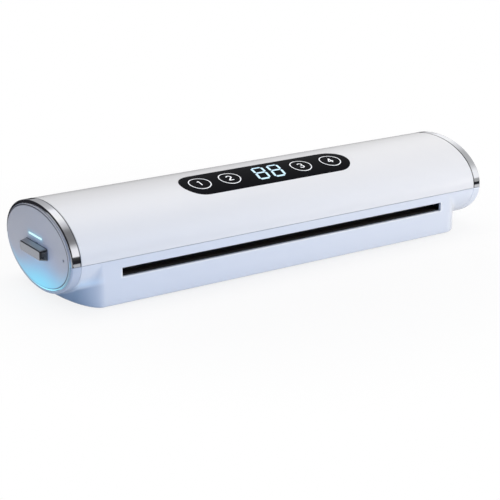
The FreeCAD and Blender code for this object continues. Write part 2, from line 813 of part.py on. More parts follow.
def lock_lever():
    """Tapered chrome bar hung a little low on the shaft's end, with eased edges."""
    def outline(size, x):
        half_y, half_z = size[0] / 2, size[1] / 2
        middle_z = axis_z - lever_drop
        face = block((x, x + 1), (-half_y, half_y), (middle_z - half_z, middle_z + half_z))
        side = min(face.Faces, key=lambda f: f.CenterOfMass.x)
        return side.OuterWire

    tip_x = -disc_face - lever_proud
    foot = outline(lever_size, -lever_foot)
    tip = outline(lever_tip_size, tip_x)
    bar = Part.makeLoft([foot, tip], True, True)
    corners = [e for e in bar.Edges if abs(e.Vertexes[0].X - e.Vertexes[1].X) > 1]
    bar = bar.makeFillet(1.6, corners)
    rim = [e for e in bar.Edges if max(v.X for v in e.Vertexes) < tip_x + 0.01]
    bar = bar.makeFillet(0.6, rim)
    return bar.cut(rod(spigot_radius, vec(-shaft_end, 0, axis_z), X, 10))


def cam_shaft():
    """Round shaft along the bar with a thin spigot that carries the lever."""
    shaft = rod(shaft_radius, vec(-lever_foot, 0, axis_z), X, lever_foot + half_length - 3.0)
    return shaft.fuse(rod(spigot_radius, vec(-shaft_end, 0, axis_z), X, 10)).removeSplitter()


def cam_profile(x):
    """Cam whose reach below the shaft grows evenly with turning, so a flat follower keeps step.

    The reach towards the direction that faces down after a turn t is cam_start + rate t. A point of such
    an edge lies that far out along the direction and one rate sideways. The rest closes round the hub.
    """
    rate = press_travel / (math.pi / 2)

    def edge_point(turn):
        reach = cam_start + rate * turn
        down = -math.pi / 2 - turn
        out = vec(0, math.cos(down), math.sin(down))
        side = vec(0, math.sin(down), -math.cos(down))
        return vec(x, 0, axis_z) + out * reach + side * rate

    working = Part.BSplineCurve()
    working.interpolate([edge_point(math.pi / 2 * n / 8) for n in range(9)])
    start, finish = edge_point(0), edge_point(math.pi / 2)
    nose = vec(x, finish.y + 2.0, finish.z + 2.5)
    heel = vec(x, 0, axis_z + 5.0)
    back = vec(x, 5.0, axis_z)
    outline = Part.Wire([
        working.toShape(),
        Part.makeLine(finish, nose),
        Part.makeLine(nose, heel),
        Part.Arc(heel, vec(x, 5 * math.sqrt(0.5), axis_z + 5 * math.sqrt(0.5)), back).toShape(),
        Part.makeLine(back, start),
    ])
    return Part.Face(outline)


def press_cams():
    cams = []
    for x in cam_x:
        cam = cam_profile(x - cam_width / 2).extrude(vec(cam_width, 0, 0))
        cams.append(cam.cut(rod(shaft_radius, vec(x - 20, 0, axis_z), X, 40)))
    return group(cams)


def shaft_clip():
    x = bearing_x[0] + 4.6
    ring = rod(5.5, vec(x, 0, axis_z), X, 1.0).cut(rod(shaft_radius, vec(x - 1, 0, axis_z), X, 3))
    return ring.cut(block((x - 1, x + 2), (-1.5, 1.5), (axis_z, axis_z + 8)))


# The press frame under the cams

frame_x = 152.4
frame_y = (-52.2, 14.0)
frame_plate = 2.5
frame_rib_x = (-146.0, -90.0, 90.0, 146.0)


def press_frame():
    """Stiff plate under the cams with a front beam that holds the press strip and a back rib."""
    low = follower_z - frame_plate
    plate = block((-frame_x, frame_x), frame_y, (low, follower_z))
    beam = block((-frame_x, frame_x), (frame_y[0], jaw_y[1] + 0.8), (low, axis_z))
    rib = block((-frame_x, frame_x), (frame_y[1] - 2, frame_y[1]), (low, axis_z - 1))
    rib_y = (jaw_y[1], frame_y[1] - 1)
    ribs = [block((x - 1, x + 1), rib_y, (low, axis_z - 1.5)) for x in frame_rib_x]
    ribs = [r.cut(block((-300, 300), (-11, 11), (follower_z, 100))) for r in ribs]
    frame = join([plate, beam, rib, *ribs])
    frame = frame.cut(press_strip())
    for x in bolt_x:
        frame = frame.cut(rod(bolt_radius, vec(x, bolt_y, low - 1), Z, 10))
    return frame.removeSplitter()


def press_strip():
    """Silicone strip in the beam's underside, over the heating strip."""
    half = seal_length / 2 + 1
    return block((-half, half), (jaw_y[0] + 0.6, jaw_y[1] - 0.6), (strip_low_z, strip_low_z + 5))


def upper_seal():
    return seal_ring(ring_x - 0.5, ring_y, ring_width, (strip_low_z + 0.1, follower_z - frame_plate))


def frame_bolts():
    """Bolts that rise from the frame through the liner to the heads that the return springs push up."""
    bolts = []
    for x in bolt_x:
        low = follower_z - frame_plate
        shank = rod(bolt_radius, vec(x, bolt_y, low), Z, liner_z[1] + 12 - low)
        head = rod(5.0, vec(x, bolt_y, liner_z[1] + 12), Z, 2.0)
        bolts.append(shank.fuse(head).removeSplitter())
    return group(bolts)


pieces = {
    "base_housing": base_housing,
    "bottom_plate": bottom_plate,
    "rubber_feet": rubber_feet,
    "bottom_screws": bottom_screws,
    "vacuum_tray": vacuum_tray,
    "lower_seal": lower_seal,
    "heater_bar": heater_bar,
    "heating_strip": heating_strip,
    "release_tape": release_tape,
    "bay_cover": bay_cover,
    "cover_screws": cover_screws,
    "pump_motor": pump_motor,
    "pump_head": pump_head,
    "pump_cradle": pump_cradle,
    "vacuum_hose": vacuum_hose,
    "release_valve": release_valve,
    "supply_board": supply_board,
    "transformer": transformer,
    "board_parts": board_parts,
    "power_inlet": power_inlet,
    "inlet_pins": inlet_pins,
    "hinge_pins": hinge_pins,
    "lid_shell": lid_shell,
    "left_chrome_arch": left_chrome_arch,
    "right_chrome_arch": lambda: flipped(left_chrome_arch()),
    "left_end_disc": left_end_disc,
    "right_end_disc": right_end_disc,
    "left_glow_ring": left_glow_ring,
    "right_glow_ring": lambda: flipped(left_glow_ring()),
    "lit_bar_lens": lit_bar_lens,
    "control_panel": control_panel,
    "display_digits": display_digits,
    "display_block": display_block,
    "control_board": control_board,
    "key_switches": key_switches,
    "lid_liner": lid_liner,
    "liner_screws": liner_screws,
    "shaft_bearings": shaft_bearings,
    "return_springs": return_springs,
    "lock_lever": lock_lever,
    "cam_shaft": cam_shaft,
    "press_cams": press_cams,
    "shaft_clip": shaft_clip,
    "press_frame": press_frame,
    "press_strip": press_strip,
    "upper_seal": upper_seal,
    "frame_bolts": frame_bolts,
}
for number, place in enumerate(key_x, start=1):
    pieces[f"key_cap_{number}"] = lambda place=place: key_cap(place)

os.makedirs("parts", exist_ok=True)
for name, make in pieces.items():
    shape = make()
    shape.translate(vec(row_shift, 0, 0))
    shape.exportStep(f"parts/{name}.step")
    print(f"{name}: {len(shape.Solids)} solids, valid {shape.isValid()}, {shape.Volume / 1000:.2f} cm3")
coil_gap = (spring_z[1] - spring_z[0]) / spring_turns - 2 * spring_wire
print(f"least gap between the spring's curls: {coil_gap:.2f} mm")
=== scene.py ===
"""Vacuum sealer: finishes, added pieces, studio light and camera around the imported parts.

Metres, in the parts' own frame: +X along the bar, -Y out of the bag slot, +Z up, z = 0 on the table.
"""
import json
import math

import bpy
import numpy as np
from mathutils import Matrix, Vector


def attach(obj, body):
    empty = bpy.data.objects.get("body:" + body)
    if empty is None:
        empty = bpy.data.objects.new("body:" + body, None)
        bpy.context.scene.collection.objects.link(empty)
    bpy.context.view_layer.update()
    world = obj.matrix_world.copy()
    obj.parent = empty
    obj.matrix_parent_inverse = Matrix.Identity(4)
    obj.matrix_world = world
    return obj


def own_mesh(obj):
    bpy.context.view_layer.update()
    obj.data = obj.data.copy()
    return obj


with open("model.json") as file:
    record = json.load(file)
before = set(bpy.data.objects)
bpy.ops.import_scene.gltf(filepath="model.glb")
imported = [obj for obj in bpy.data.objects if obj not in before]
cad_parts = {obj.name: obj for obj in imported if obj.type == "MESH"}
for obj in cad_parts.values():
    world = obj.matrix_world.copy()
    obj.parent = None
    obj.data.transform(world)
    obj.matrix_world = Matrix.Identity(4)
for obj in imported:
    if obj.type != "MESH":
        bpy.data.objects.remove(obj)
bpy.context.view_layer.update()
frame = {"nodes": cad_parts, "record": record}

# Sizes repeated from the part's source
mm = 0.001
middle_x = 3.15 * mm
axis_z = 37.9 * mm
semi_depth = 56 * mm
semi_height = 34 * mm
disc_inset = 2.9 * mm
disc_semi_depth = semi_depth - disc_inset
disc_semi_height = semi_height - disc_inset
plinth_ends = {"left": (-1, 170 * mm, 18.5 * mm), "right": (1, 159 * mm, 25 * mm)}
panel_y = -16.8 * mm
key_x = (-63 * mm, -35.4 * mm, 33.5 * mm, 63 * mm)
lid_end = 188 * mm
slot_x = (-154.5 * mm, 151.5 * mm)
slot_low = 22.2 * mm
slot_high = 29 * mm
lit_bar_y = 2.4 * mm
lit_bar_z = axis_z + 7.8 * mm
lever_tip_x = middle_x - 202.1 * mm
lever_z = axis_z - 2.0 * mm
lever_depth = 6.0 * mm
lever_tip_half = (17.0 * mm, 3.7 * mm)
lever_foot_half = (18.25 * mm, 4.9 * mm)
pin_y = -43.5 * mm
pin_z = axis_z + 0.8 * mm

# Sizes of the pieces made here
ring_radius = (8.5 * mm, 9.3 * mm)
numeral_height = 7.0 * mm
stroke_width = 1.0 * mm
print_lift = (-0.04 * mm, 0.03 * mm)
fillet_least = 0.8 * mm
fillet_growth = {"front": 6.4 * mm, "back": 1.6 * mm}
fillet_reach = {"front": math.radians(86), "back": math.radians(77)}
tuck = 0.4 * mm
sharp_edge = math.radians(35)

# Points along those pieces, and steps of the search for the fillet's touching point
fillet_stations = 121
fillet_arc_points = 17
ring_points = 96
line_points = 14
bow_points = 28
halvings = 50

# Painted shade, highlights and dark reflections in the finishes: places, bell curve widths, first and last
# value of a fade
seam_shade_width = 0.42 * mm
lip_highlight_width = 0.9 * mm
lip_front_y = (-55.8 * mm, -55.5 * mm)
lip_top_z = (slot_high, slot_high + 0.5 * mm)
groove_semi = (disc_semi_depth - 1.0 * mm, disc_semi_height - 0.9 * mm)
groove_middle = (1.0 * mm, axis_z - 0.3 * mm)
groove_width = 0.55 * mm
lever_line_width = 0.55 * mm
pin_shade_width = 1.0 * mm
end_band_x = (-185.3 * mm, -184.7 * mm)
end_shade_x = (-168 * mm, -164 * mm)
end_shade_y = (-62 * mm, -34 * mm)
end_shade_slope = -0.39
end_shade_foot = -1.6 * mm
end_shade_soft = 1.8 * mm
near_black = (0.03, 0.03, 0.035)

# Light that the finishes draw, stated in the same way
halo_half_length = 10.4 * mm
halo_width = 2.6 * mm
glow_height = 16 * mm
wash_height = 30 * mm
glow_reach = 42 * mm
glow_highest_y = -6 * mm
glow_brightest_y = -3 * mm
ring_reach = 26 * mm
ring_brightest_y = -12 * mm
spill_over_shade = (-1.5 * mm, 2.5 * mm)
spill_left_x = (-185.5 * mm, -181.5 * mm)
spill_right_x = (-173 * mm, -164 * mm)
spill_back_y = (-44 * mm, -28 * mm)
spill_top_z = (18 * mm, 28 * mm)
no_light = (0.0, 0.0, 0.0)
unlit_guide = (0.05, 0.06, 0.07)

# Greys of the room that polished pieces mirror: degrees about the bar from the front upwards, and the grey
room_greys = (
    (0, 0.03), (9, 0.05), (12, 0.14), (15.5, 0.90), (22, 0.94), (40, 0.90), (48, 0.64), (58, 0.29),
    (66, 0.21), (88, 0.21), (94, 0.28), (101, 0.52), (109, 0.72), (119, 1.0), (137, 0.96), (143, 0.60),
    (152, 0.48), (172, 0.38), (178, 0.42), (180, 0.20),
)
room_blue = 1.04
mirrored_dark = (0.02, 0.02, 0.025)

# The floor: rings of points, and the distances between which it fades from nearly white to white
floor_radii = (0.0005, 0.3, 0.8, 4.0)
floor_points = 97
floor_fade = (0.10, 0.34)
least_white = 0.78

# The photograph's camera, from a fit to the object's outline: turned off the front and tipped down
camera_place = (middle_x - 634.8 * mm, -946.7 * mm, 375.7 * mm)
camera_turn = math.radians(33.64)
camera_drop = math.radians(18.27)
focal_pixels = 1453.3
frame_pixels = 500


# Mesh building

def grid_faces(rows, columns, wrap_rows=False):
    """Quads between neighbouring points of a rows by columns grid whose rows are closed loops."""
    row = np.arange(rows if wrap_rows else rows - 1)
    r, c = (a.ravel() for a in np.meshgrid(row, np.arange(columns), indexing="ij"))
    r_next, c_next = (r + 1) % rows, (c + 1) % columns
    return np.stack([
        r * columns + c, r * columns + c_next, r_next * columns + c_next, r_next * columns + c,
    ], axis=1)


def swept_solid(sections, closed_path=False):
    """Points and triangles of a solid whose sections, closed loops of points, follow one another.

    An open path gets a fan of triangles over each end. A negative volume means that the faces point
    inwards, and they are turned over.
    """
    stations, points = sections.shape[:2]
    corners = sections.reshape(-1, 3)
    quads = grid_faces(stations, points, wrap_rows=closed_path)
    triangles = [quads[:, (0, 1, 2)], quads[:, (0, 2, 3)]]
    if not closed_path:
        first = np.arange(points)
        last = first + (stations - 1) * points
        hubs = np.stack([corners[first].mean(axis=0), corners[last].mean(axis=0)])
        hub = np.full(points, len(corners))
        triangles.append(np.stack([np.roll(first, -1), first, hub], axis=1))
        triangles.append(np.stack([last, np.roll(last, -1), hub + 1], axis=1))
        corners = np.concatenate([corners, hubs])
    triangles = np.concatenate(triangles)
    a, b, c = (corners[triangles[:, n]] for n in range(3))
    if np.einsum("ij,ij->", a, np.cross(b, c)) < 0:
        triangles = triangles[:, ::-1]
    return corners, triangles


def surface_piece(name, solids, body, finish):
    """One piece from a list of solids, smooth except across its sharp edges, riding on a body."""
    starts = np.cumsum([0] + [len(corners) for corners, _ in solids[:-1]])
    corners = np.concatenate([corners for corners, _ in solids])
    triangles = np.concatenate([start + faces for start, (_, faces) in zip(starts, solids)])
    mesh = bpy.data.meshes.new(name)
    mesh.from_pydata(corners.tolist(), [], triangles.tolist())
    mesh.polygons.foreach_set("use_smooth", np.ones(len(mesh.polygons), bool))
    mesh.set_sharp_from_angle(angle=sharp_edge)
    mesh.materials.append(finish)
    piece = bpy.data.objects.new(name, mesh)
    bpy.context.scene.collection.objects.link(piece)
    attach(piece, body)


def unit(vectors):
    return vectors / np.linalg.norm(vectors, axis=-1, keepdims=True)


# Pieces

def plinth_blend(side, end_x, bulge):
    """The soft inner corner where one round end of the plinth meets the oval's underside.

    A ball rolls along the corner. Its radius grows from the middle of the end to the sides with the square
    of the sine of the plan angle, less to the back, where the lid's edge swings past. It touches the plinth
    beside its centre, level with it, and it touches the oval where the oval's point plus one radius along its
    normal has the centre's y, found by halving the angle. The strip is the arc between the two touching
    points, tucked a little under both surfaces.
    """
    plan = np.linspace(-fillet_reach["front"], fillet_reach["back"], fillet_stations)
    growth = np.where(plan < 0, fillet_growth["front"], fillet_growth["back"])
    radius = fillet_least + growth * np.sin(plan) ** 2
    none = np.zeros_like(plan)
    plinth_out = unit(np.stack([np.cos(plan) / bulge, np.sin(plan) / semi_depth, none], axis=1))
    plinth_x = end_x + bulge * np.cos(plan)
    plinth_y = semi_depth * np.sin(plan)
    centre_y = plinth_y + radius * plinth_out[:, 1]

    def oval_out(angle):
        return unit(np.stack([none, np.cos(angle) / semi_depth, np.sin(angle) / semi_height], axis=1))

    low, high = np.full_like(plan, -math.pi), none.copy()
    for _ in range(halvings):
        angle = (low + high) / 2
        short = semi_depth * np.cos(angle) + radius * oval_out(angle)[:, 1] < centre_y
        low, high = np.where(short, angle, low), np.where(short, high, angle)
    touch_out = oval_out(angle)
    centre_z = axis_z + semi_height * np.sin(angle) + radius * touch_out[:, 2]
    centre = np.stack([plinth_x + radius * plinth_out[:, 0], centre_y, centre_z], axis=1)
    share = np.linspace(0, 1, fillet_arc_points)[None, :, None]
    spread = np.arccos(np.clip((touch_out * plinth_out).sum(axis=1), -1, 1))[:, None, None]
    from_oval = np.sin((1 - share) * spread) * touch_out[:, None]
    from_plinth = np.sin(share * spread) * plinth_out[:, None]
    arc = centre[:, None] - radius[:, None, None] * (from_oval + from_plinth) / np.sin(spread)
    crease = np.stack([plinth_x, plinth_y, axis_z - semi_height * np.cos(plan)], axis=1)
    inner = [
        arc[:, -1] - tuck * plinth_out,
        crease - 2 * tuck * (plinth_out + touch_out),
        arc[:, 0] - tuck * touch_out,
    ]
    sections = np.concatenate([arc, np.stack(inner, axis=1)], axis=1)
    sections[..., 0] = middle_x + side * sections[..., 0]
    return swept_solid(sections)


panel_rise = semi_height * math.sqrt(1 - (panel_y / semi_depth) ** 2)
panel_slope = math.atan2(-panel_y / semi_depth ** 2, panel_rise / semi_height ** 2)


def on_crown(across, up, lift):
    """Points of the panel's own plane carried along its normal onto the lid's oval, then raised by lift.

    The height over the plane is the larger root of the oval's equation along the normal.
    """
    c, s = math.cos(panel_slope), math.sin(panel_slope)
    y, z = panel_y + up * c, panel_rise + up * s
    square = (s / semi_depth) ** 2 + (c / semi_height) ** 2
    half_linear = -y * s / semi_depth ** 2 + z * c / semi_height ** 2
    rest = (y / semi_depth) ** 2 + (z / semi_height) ** 2 - 1
    height = (-half_linear + np.sqrt(half_linear ** 2 - square * rest)) / square + lift
    return np.stack([middle_x + across, y - height * s, axis_z + z + height * c], axis=-1)


def key_ring(x):
    """A thin printed ring: a flat four-sided section carried round the key's crown."""
    turn = np.linspace(0, 2 * math.pi, ring_points, endpoint=False)[:, None]
    radius = np.array([ring_radius[0], ring_radius[1], ring_radius[1], ring_radius[0]])
    lift = np.repeat(print_lift, 2)
    return swept_solid(on_crown(x + radius * np.cos(turn), radius * np.sin(turn), lift), closed_path=True)


def printed_stroke(x, path):
    """A printed line of even width along a path in the panel's plane, with square ends."""
    along = unit(np.gradient(path, axis=0))
    aside = np.stack([-along[:, 1], along[:, 0]], axis=1) * stroke_width / 2
    edges = np.stack([path + aside, path - aside, path - aside, path + aside], axis=1)
    lift = np.repeat(print_lift, 2)
    return swept_solid(on_crown(x + edges[..., 0], edges[..., 1], lift))


def line(start, end):
    """A straight path, counted in numeral heights."""
    return np.linspace(start, end, line_points) * numeral_height


def bow(centre, radius, first_deg, last_deg):
    """A round arc, counted in numeral heights."""
    turn = np.radians(np.linspace(first_deg, last_deg, bow_points))
    return (np.array(centre) + radius * np.stack([np.cos(turn), np.sin(turn)], axis=1)) * numeral_height


numerals = (
    [line((-0.18, 0.30), (0.07, 0.50)), line((0.05, 0.50), (0.05, -0.50))],
    [bow((0.0, 0.22), 0.28, 172, -38), line((0.22, 0.05), (-0.28, -0.46)), line((-0.32, -0.5), (0.32, -0.5))],
    [bow((0.0, 0.25), 0.25, 160, -95), bow((0.0, -0.24), 0.27, 95, -160)],
    [line((0.12, 0.5), (-0.32, -0.2)), line((-0.36, -0.2), (0.34, -0.2)), line((0.12, 0.5), (0.12, -0.5))],
)


# Material building

def new_finish(name, **constants):
    """A material with a principled shader whose plain values sit on its own sockets."""
    finish = bpy.data.materials.new(name)
    finish.use_nodes = True
    shader = finish.node_tree.nodes["Principled BSDF"]
    for words, value in constants.items():
        shader.inputs[words.replace("_", " ")].default_value = value
    return finish, finish.node_tree, shader


def feed(tree, socket, value):
    """Puts a number on a socket or links another node's output to it."""
    if isinstance(value, bpy.types.NodeSocket):
        tree.links.new(value, socket)
    else:
        socket.default_value = value


def calc(tree, operation, value, *others):
    """A math node on one value, or a chain of nodes that takes in the other values one by one."""
    for other in others or (0.0,):
        node = tree.nodes.new("ShaderNodeMath")
        node.operation = operation
        feed(tree, node.inputs[0], value)
        feed(tree, node.inputs[1], other)
        value = node.outputs[0]
    return value


def length(tree, first, second):
    """The length of a vector with these two components."""
    squares = (calc(tree, "MULTIPLY", part, part) for part in (first, second))
    return calc(tree, "SQRT", calc(tree, "ADD", *squares))


def bell(tree, value, width):
    """A bell curve: e to the minus square of value over width."""
    share = calc(tree, "DIVIDE", value, width)
    return calc(tree, "POWER", math.e, calc(tree, "MULTIPLY", share, share, -1.0))


def remap(tree, value, low, high, to_low=0.0, to_high=1.0):
    """Maps low..high smoothly onto to_low..to_high and holds the ends."""
    node = tree.nodes.new("ShaderNodeMapRange")
    node.interpolation_type = "SMOOTHSTEP"
    for socket, number in zip(node.inputs[:5], (value, low, high, to_low, to_high)):
        feed(tree, socket, number)
    return node.outputs[0]


def falling(tree, value, low, high):
    """1 up to low, 0 from high on, and smooth between."""
    return remap(tree, value, low, high, 1.0, 0.0)


def blend_colours(tree, share, first, second):
    node = tree.nodes.new("ShaderNodeMix")
    node.data_type = "RGBA"
    feed(tree, node.inputs["Factor"], share)
    for socket, colour in ((node.inputs[6], first), (node.inputs[7], second)):
        feed(tree, socket, colour if isinstance(colour, bpy.types.NodeSocket) else (*colour, 1.0))
    return node.outputs[2]


def places(tree, space="Object"):
    """The x, y and z of the shaded point in the part's frame, or in Generated space of a direction."""
    where = tree.nodes.new("ShaderNodeTexCoord")
    apart = tree.nodes.new("ShaderNodeSeparateXYZ")
    tree.links.new(where.outputs[space], apart.inputs[0])
    return apart.outputs


def grain(tree, speck, stretch=(1.0, 1.0, 1.0), detail=3.0):
    """Noise in the part's frame.

    speck is the width of one grain in metres, and stretch draws it out along an axis.
    """
    where = tree.nodes.new("ShaderNodeTexCoord")
    drawn = tree.nodes.new("ShaderNodeMapping")
    drawn.inputs["Scale"].default_value = [1 / s for s in stretch]
    noise = tree.nodes.new("ShaderNodeTexNoise")
    noise.inputs["Scale"].default_value = 1 / speck
    noise.inputs["Detail"].default_value = detail
    tree.links.new(where.outputs["Object"], drawn.inputs["Vector"])
    tree.links.new(drawn.outputs["Vector"], noise.inputs["Vector"])
    return noise.outputs["Fac"]


def raise_grain(tree, shader, height, depth):
    """Bump of a given depth in metres from a 0..1 height."""
    bump = tree.nodes.new("ShaderNodeBump")
    bump.inputs["Distance"].default_value = depth
    bump.inputs["Strength"].default_value = 1.0
    feed(tree, bump.inputs["Height"], height)
    tree.links.new(bump.outputs["Normal"], shader.inputs["Normal"])


def textured(name, dark, light, rough, speck, depth, stretch=(1.0, 1.0, 1.0), **constants):
    """A finish whose colour, roughness and fine relief follow one grain."""
    finish, tree, shader = new_finish(name, **constants)
    mottle = grain(tree, speck, stretch)
    feed(tree, shader.inputs["Base Color"], blend_colours(tree, mottle, dark, light))
    feed(tree, shader.inputs["Roughness"], remap(tree, mottle, 0.25, 0.75, *rough))
    raise_grain(tree, shader, mottle, depth)
    return finish


def lit(name, core, edge, strength, speck):
    """Lit light-guide plastic: its colour wanders a little between two tints, and it gives off light."""
    finish, tree, shader = new_finish(
        name, Roughness=0.3, Base_Color=(*unlit_guide, 1.0), Emission_Strength=strength)
    feed(tree, shader.inputs["Emission Color"], blend_colours(tree, grain(tree, speck), core, edge))
    return finish


# Painted shade, highlights and light drawn in the finishes

def half_chord(tree, y, oval_depth, oval_height):
    """Half the height of an oval at y, from its two half axes."""
    across = calc(tree, "DIVIDE", y, oval_depth)
    room = calc(tree, "SUBTRACT", 1.0, calc(tree, "MULTIPLY", across, across))
    return calc(tree, "MULTIPLY", calc(tree, "SQRT", calc(tree, "MAXIMUM", room, 0.0)), oval_height)


def painted_seam_shade(tree, colour):
    """Painted shade: a colour turning dark in a fine bell curve at the joint of the lid and its chrome ends.
    """
    reach = calc(tree, "ABSOLUTE", calc(tree, "SUBTRACT", places(tree)[0], middle_x))
    near = bell(tree, calc(tree, "SUBTRACT", reach, lid_end), seam_shade_width)
    return blend_colours(tree, near, colour, near_black)


def slot_lip_highlight(tree, colour):
    """Painted highlight: whiter on the front face, in a bell curve round the slot's lower edge and ends."""
    x, y, z = places(tree)
    past_left = calc(tree, "SUBTRACT", slot_x[0] + middle_x, x)
    past_right = calc(tree, "SUBTRACT", x, slot_x[1] + middle_x)
    past_end = calc(tree, "MAXIMUM", past_left, past_right, 0.0)
    below = calc(tree, "MAXIMUM", calc(tree, "SUBTRACT", slot_low, z), 0.0)
    near = bell(tree, length(tree, past_end, below), lip_highlight_width)
    share = calc(tree, "MULTIPLY", near, falling(tree, y, *lip_front_y), falling(tree, z, *lip_top_z))
    return blend_colours(tree, share, colour, (0.96, 0.965, 0.97))


def over_end_shade(tree):
    """Height over the top of the shade on the plinth's left end: the lower of a slanted line and the oval."""
    _, y, z = places(tree)
    slant = calc(tree, "ADD", calc(tree, "MULTIPLY", y, end_shade_slope), end_shade_foot)
    oval = calc(tree, "SUBTRACT", axis_z, half_chord(tree, y, semi_depth, semi_height))
    return calc(tree, "SUBTRACT", z, calc(tree, "MINIMUM", slant, oval))


def base_painted_light_and_shade(tree, colour):
    """The base's colour with the lip's painted highlight, and painted shade on its left end's band and
    plinth.
    """
    x, y, _ = places(tree)
    # painted shade: a darker band at the base's left end, and the plinth there darker below a slanted line
    band = falling(tree, x, *end_band_x)
    banded = blend_colours(tree, band, slot_lip_highlight(tree, colour), (0.53, 0.595, 0.71))
    under = falling(tree, over_end_shade(tree), -end_shade_soft, 0.0)
    shade = calc(tree, "MULTIPLY", falling(tree, x, *end_shade_x), remap(tree, y, *end_shade_y), under)
    return blend_colours(tree, shade, banded, (0.37, 0.475, 0.60))


def base_spill(tree):
    """Faint cyan light on the base's left end, between its band and the front, over the plinth's shade."""
    x, y, z = places(tree)
    over = remap(tree, over_end_shade(tree), *spill_over_shade)
    between = calc(tree, "MULTIPLY", remap(tree, x, *spill_left_x), falling(tree, x, *spill_right_x))
    share = calc(
        tree, "MULTIPLY", over, between, falling(tree, y, *spill_back_y), falling(tree, z, *spill_top_z))
    return blend_colours(tree, share, no_light, (0.075, 0.14, 0.20))


def edge_glow(tree, spread):
    """How strongly the disc glows at a point, from 0 to 1.

    It is a bell curve of the height above the disc's lower edge. Its width and its strength are themselves
    bell curves along Y.
    """
    _, y, z = places(tree)
    low_edge = half_chord(tree, y, disc_semi_depth, disc_semi_height)
    height = calc(tree, "ADD", calc(tree, "SUBTRACT", z, axis_z), low_edge)
    wide = bell(tree, calc(tree, "SUBTRACT", y, glow_highest_y), glow_reach)
    bright = bell(tree, calc(tree, "SUBTRACT", y, glow_brightest_y), glow_reach)
    return calc(tree, "MULTIPLY", bell(tree, height, calc(tree, "MULTIPLY", wide, spread)), bright)


def groove_shade_line(tree):
    """Painted shade: a fine line round the disc, a little inside its edge and set back and down, from 0 to 1.

    The distance from its oval is the oval's level less one over the length of the level's gradient.
    """
    _, y, z = places(tree)
    scaled = [
        calc(tree, "DIVIDE", calc(tree, "SUBTRACT", place, middle), semi)
        for place, middle, semi in zip((y, z), groove_middle, groove_semi)]
    level = length(tree, *scaled)
    steep = length(tree, *(calc(tree, "DIVIDE", part, semi) for part, semi in zip(scaled, groove_semi)))
    apart = calc(tree, "DIVIDE", calc(tree, "MULTIPLY", calc(tree, "SUBTRACT", level, 1.0), level), steep)
    return bell(tree, apart, groove_width)


def on_left(tree):
    """1 in the left half of the part and 0 in the right half."""
    return calc(tree, "LESS_THAN", places(tree)[0], 0.0)


def pin_shade(tree):
    """Darkness in and just round the left disc's pin hole: a bell curve of the distance from its axis."""
    _, y, z = places(tree)
    apart = length(tree, calc(tree, "SUBTRACT", y, pin_y), calc(tree, "SUBTRACT", z, pin_z))
    return calc(tree, "MULTIPLY", bell(tree, apart, pin_shade_width), on_left(tree))


def bar_halo(tree):
    """Light around the left disc's lit bar: a bell curve of the distance from a line along the bar."""
    _, y, z = places(tree)
    aside = calc(tree, "ABSOLUTE", calc(tree, "SUBTRACT", y, lit_bar_y))
    past_end = calc(tree, "MAXIMUM", calc(tree, "SUBTRACT", aside, halo_half_length), 0.0)
    apart = length(tree, past_end, calc(tree, "SUBTRACT", z, lit_bar_z))
    return calc(tree, "MULTIPLY", bell(tree, apart, halo_width), on_left(tree))


# Finishes

def gloss_white(name, dark, light, marks, spill=None):
    """Moulded gloss shell: near white with a faint broad unevenness of colour and gloss.

    marks draws painted shade and painted highlights into its colour, and spill gives the colour of any light
    drawn on it.
    """
    finish, tree, shader = new_finish(name, Specular_IOR_Level=0.5, Coat_Weight=0.15, Coat_Roughness=0.1)
    broad = grain(tree, 60 * mm, detail=1.0)
    feed(tree, shader.inputs["Base Color"], marks(tree, blend_colours(tree, broad, dark, light)))
    feed(tree, shader.inputs["Roughness"], calc(tree, "ADD", 0.255, calc(tree, "MULTIPLY", broad, 0.02)))
    if spill:
        feed(tree, shader.inputs["Emission Color"], spill(tree))
        shader.inputs["Emission Strength"].default_value = 1.0
    return finish


def chrome_plate():
    """Polished plate with a trace of polishing haze and painted shade at its joint with the lid."""
    finish, tree, shader = new_finish("chrome_plate", Metallic=1.0)
    haze = grain(tree, 5 * mm)
    plate = blend_colours(tree, haze, (0.84, 0.85, 0.87), (0.90, 0.91, 0.93))
    feed(tree, shader.inputs["Base Color"], painted_seam_shade(tree, plate))
    feed(tree, shader.inputs["Roughness"], remap(tree, haze, 0.3, 0.7, 0.05, 0.08))
    return finish


def lever_chrome():
    """Darker plate with a brushed top, dark ends, and dark lines on the top's long edges and the tip's ends.

    The dark ends and lines are painted dark reflections. The bar's half length and half height grow evenly
    from its tip to its foot. A line is the product of two bell curves of the distances from the faces that
    meet there.
    """
    finish, tree, shader = new_finish("dark_chrome", Metallic=1.0)
    x, y, z = places(tree)
    from_tip = calc(tree, "SUBTRACT", x, lever_tip_x)
    from_foot = calc(tree, "SUBTRACT", lever_depth, from_tip)
    half_length, half_height = (
        calc(tree, "ADD", tip, calc(tree, "MULTIPLY", from_tip, (foot - tip) / lever_depth))
        for tip, foot in zip(lever_tip_half, lever_foot_half))
    from_end = calc(tree, "SUBTRACT", half_length, calc(tree, "ABSOLUTE", y))
    from_top = calc(tree, "SUBTRACT", half_height, calc(tree, "SUBTRACT", z, lever_z))
    tip, foot, end, top = (
        bell(tree, gap, lever_line_width) for gap in (from_tip, from_foot, from_end, from_top))
    tip_ends = calc(tree, "MULTIPLY", tip, end)
    top_edges = calc(tree, "MULTIPLY", top, calc(tree, "MAXIMUM", tip, foot))
    # painted dark reflections: lines on the lever's edges and darker end faces
    dark = calc(tree, "MAXIMUM", tip_ends, top_edges, calc(tree, "MULTIPLY", end, 0.55))
    haze = grain(tree, 5 * mm)
    plate = blend_colours(tree, haze, (0.66, 0.67, 0.70), (0.72, 0.73, 0.76))
    feed(tree, shader.inputs["Base Color"], blend_colours(tree, dark, plate, near_black))
    rough = remap(tree, haze, 0.3, 0.7, 0.18, 0.24)
    feed(tree, shader.inputs["Roughness"], calc(tree, "ADD", rough, calc(tree, "MULTIPLY", top, 0.28)))
    return finish


